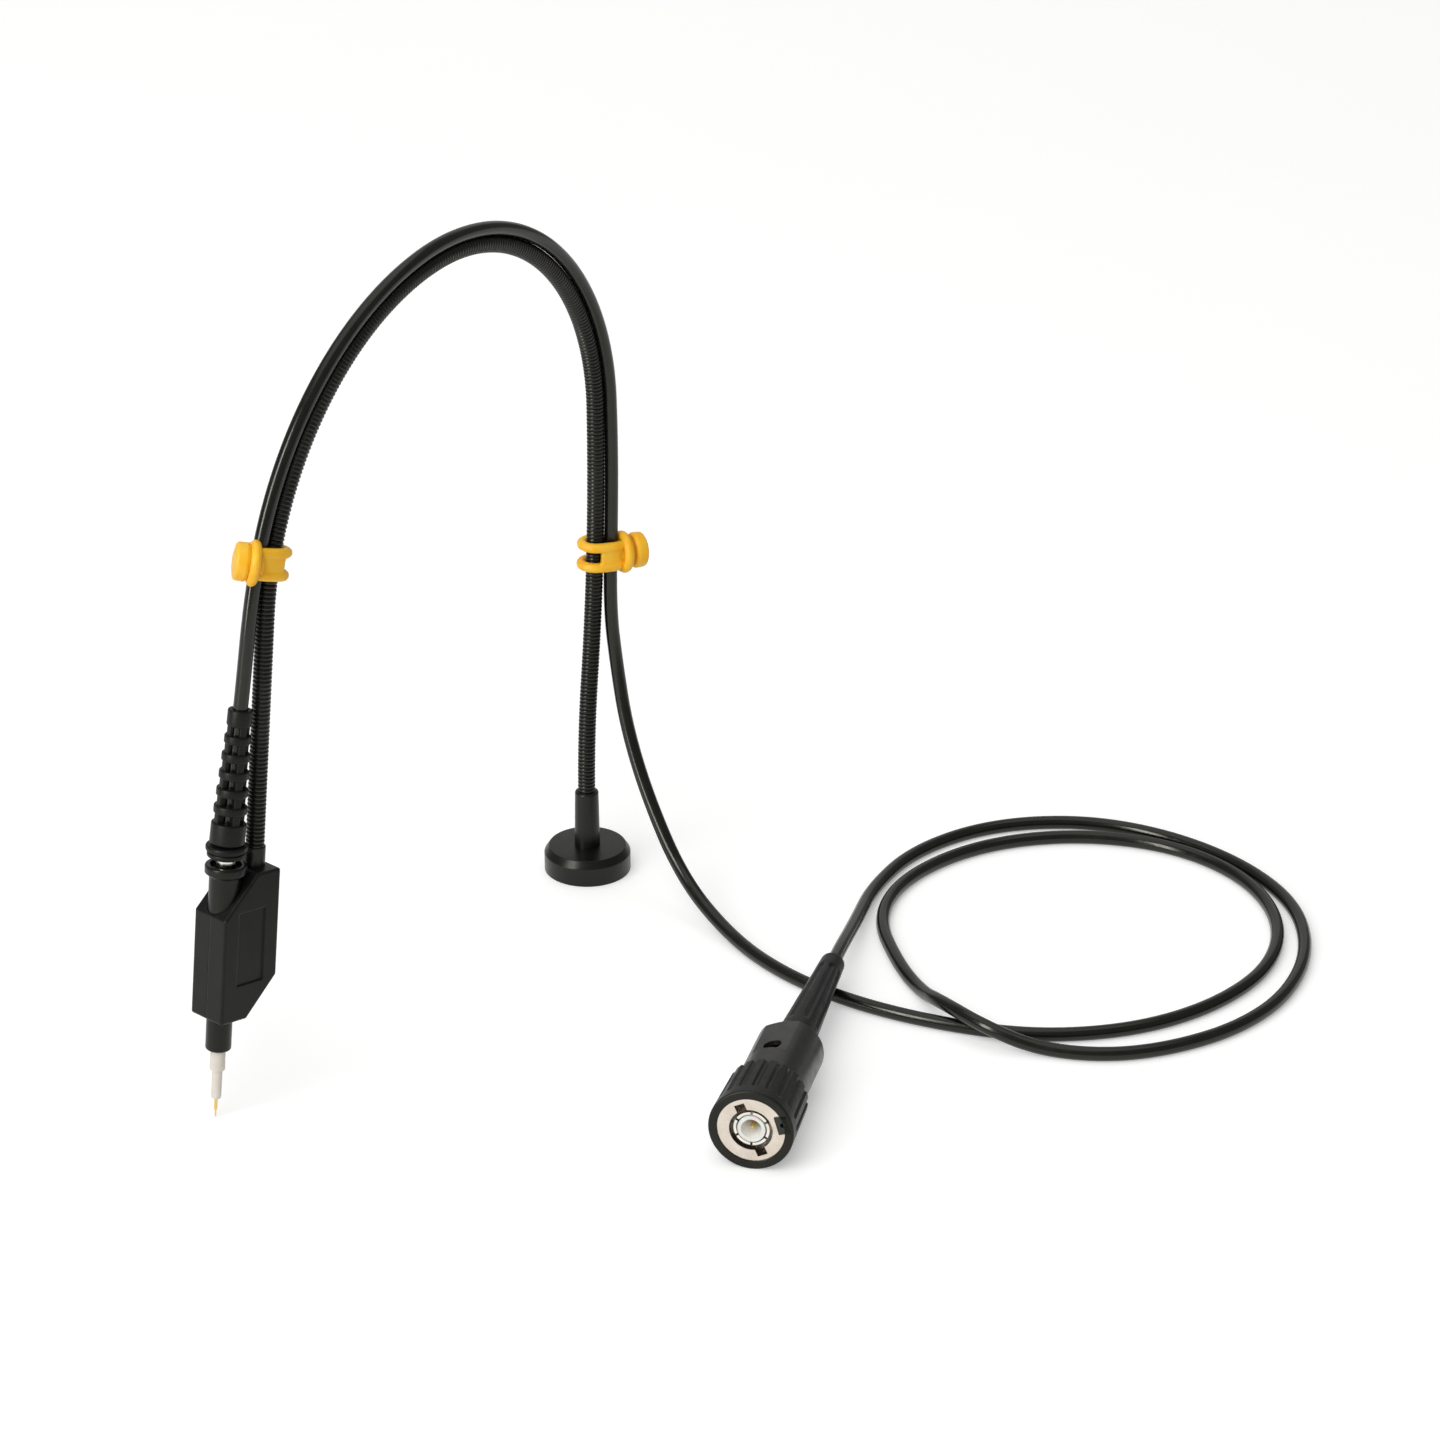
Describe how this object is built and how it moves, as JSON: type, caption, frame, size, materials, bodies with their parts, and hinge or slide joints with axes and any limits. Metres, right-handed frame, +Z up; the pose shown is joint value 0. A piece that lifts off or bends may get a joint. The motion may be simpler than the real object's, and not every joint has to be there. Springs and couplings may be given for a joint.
{
  "type": "hands-free pcb probe",
  "caption": "Spring-needle probe head on a bendable arm with a magnetic foot, and a coaxial lead tied along the arm that ends in a bayonet plug.",
  "frame": {"origin": "centre of the foot's bottom face", "axes": "+X from the needle to the foot in the arm's plane, +Z up from the table"},
  "size_m": [0.2357, 0.1854, 0.1808],
  "materials": {
    "anodised_black": "black anodised aluminium",
    "magnet_nickel": "nickel-plated magnet",
    "arm_wire": "black-finished wound steel",
    "lead_jacket": "smooth black jacket",
    "tie_silicone": "amber silicone",
    "head_plastic": "fine-textured black moulding",
    "nose_black": "semi-gloss black moulding",
    "sleeve_ivory": "ivory moulding",
    "gold": "gold-plated",
    "spring_steel": "bare spring steel",
    "board_green": "green circuit board",
    "chip_black": "moulded components",
    "nickel": "warm nickel plating",
    "core_white": "white moulding",
    "boot_rubber": "satin black elastomer",
    "grip_plastic": "matte black moulding",
    "housing_plastic": "satin black moulding"
  },
  "bodies": {
    "base": {"foot_disc": "anodised_black", "foot_magnet": "magnet_nickel", "arm_stem": "anodised_black", "arm_lower": "arm_wire", "lead_on_table": "lead_jacket", "outer_contact": "nickel", "plug_core": "core_white", "plug_pin": "gold", "plug_body": "nickel", "wave_washer": "spring_steel", "trimmer_housing": "housing_plastic", "trimmer_board": "board_green", "trimmer_body": "core_white", "plug_tail": "boot_rubber", "lead_in_plug": "lead_jacket"},
    "near_arm": {"near_tie": "tie_silicone", "arm_crown": "arm_wire", "lead_over_arch": "lead_jacket"},
    "far_arm": {"far_tie": "tie_silicone", "arm_upper": "arm_wire", "lead_at_head": "lead_jacket"},
    "probe_head": {"head_front_shell": "head_plastic", "head_back_shell": "head_plastic", "probe_board": "board_green", "board_parts": "chip_black", "nose_tube": "nose_black", "needle_sleeve": "sleeve_ivory", "needle_barrel": "gold", "needle_spring": "spring_steel", "jack_body": "anodised_black", "jack_contact_shell": "nickel", "jack_core": "core_white", "jack_contact": "gold", "arm_collar": "anodised_black", "lead_plug_collar": "boot_rubber", "lead_plug_sleeve": "nickel", "lead_boot": "boot_rubber"},
    "needle": {"needle_plunger": "gold"},
    "coupling": {"plug_grip": "grip_plastic", "bayonet_shell": "nickel", "readout_block": "grip_plastic"},
    "trimmer": {"trimmer_screw": "gold"}
  },
  "joints": [
    {"name": "foot_bend", "type": "hinge", "parent": "base", "child": "near_arm", "pos_m": [0.0018, 0, 0.05], "axis": [0, 1, 0], "range_deg": [0, 35], "deforming": ["arm_lower", "lead_on_table"]},
    {"name": "crown_bend", "type": "hinge", "parent": "near_arm", "child": "far_arm", "pos_m": [-0.05, 0, 0.174], "axis": [0, 1, 0], "range_deg": [0, 40], "deforming": ["arm_crown", "lead_over_arch"]},
    {"name": "head_bend", "type": "hinge", "parent": "far_arm", "child": "probe_head", "pos_m": [-0.119, 0, 0.107], "axis": [0, 1, 0], "range_deg": [0, 30], "deforming": ["arm_upper", "lead_at_head"]},
    {"name": "needle_travel", "type": "slide", "parent": "probe_head", "child": "needle", "axis": [0.1323, 0, 0.9912], "range_m": [0, 0.0015], "stiffness_N_per_m": 200, "springref_m": -0.001, "deforming": ["needle_spring"]},
    {"name": "coupling_turn", "type": "hinge", "parent": "base", "child": "coupling", "pos_m": [-0.0975, -0.1102, 0.00965], "axis": [0.9429, 0.332, -0.0279], "continuous": true},
    {"name": "trimmer_turn", "type": "hinge", "parent": "base", "child": "trimmer", "pos_m": [-0.07133, -0.09996, 0.01246], "axis": [-0.0606, 0.2531, 0.9655], "continuous": true}
  ]
}
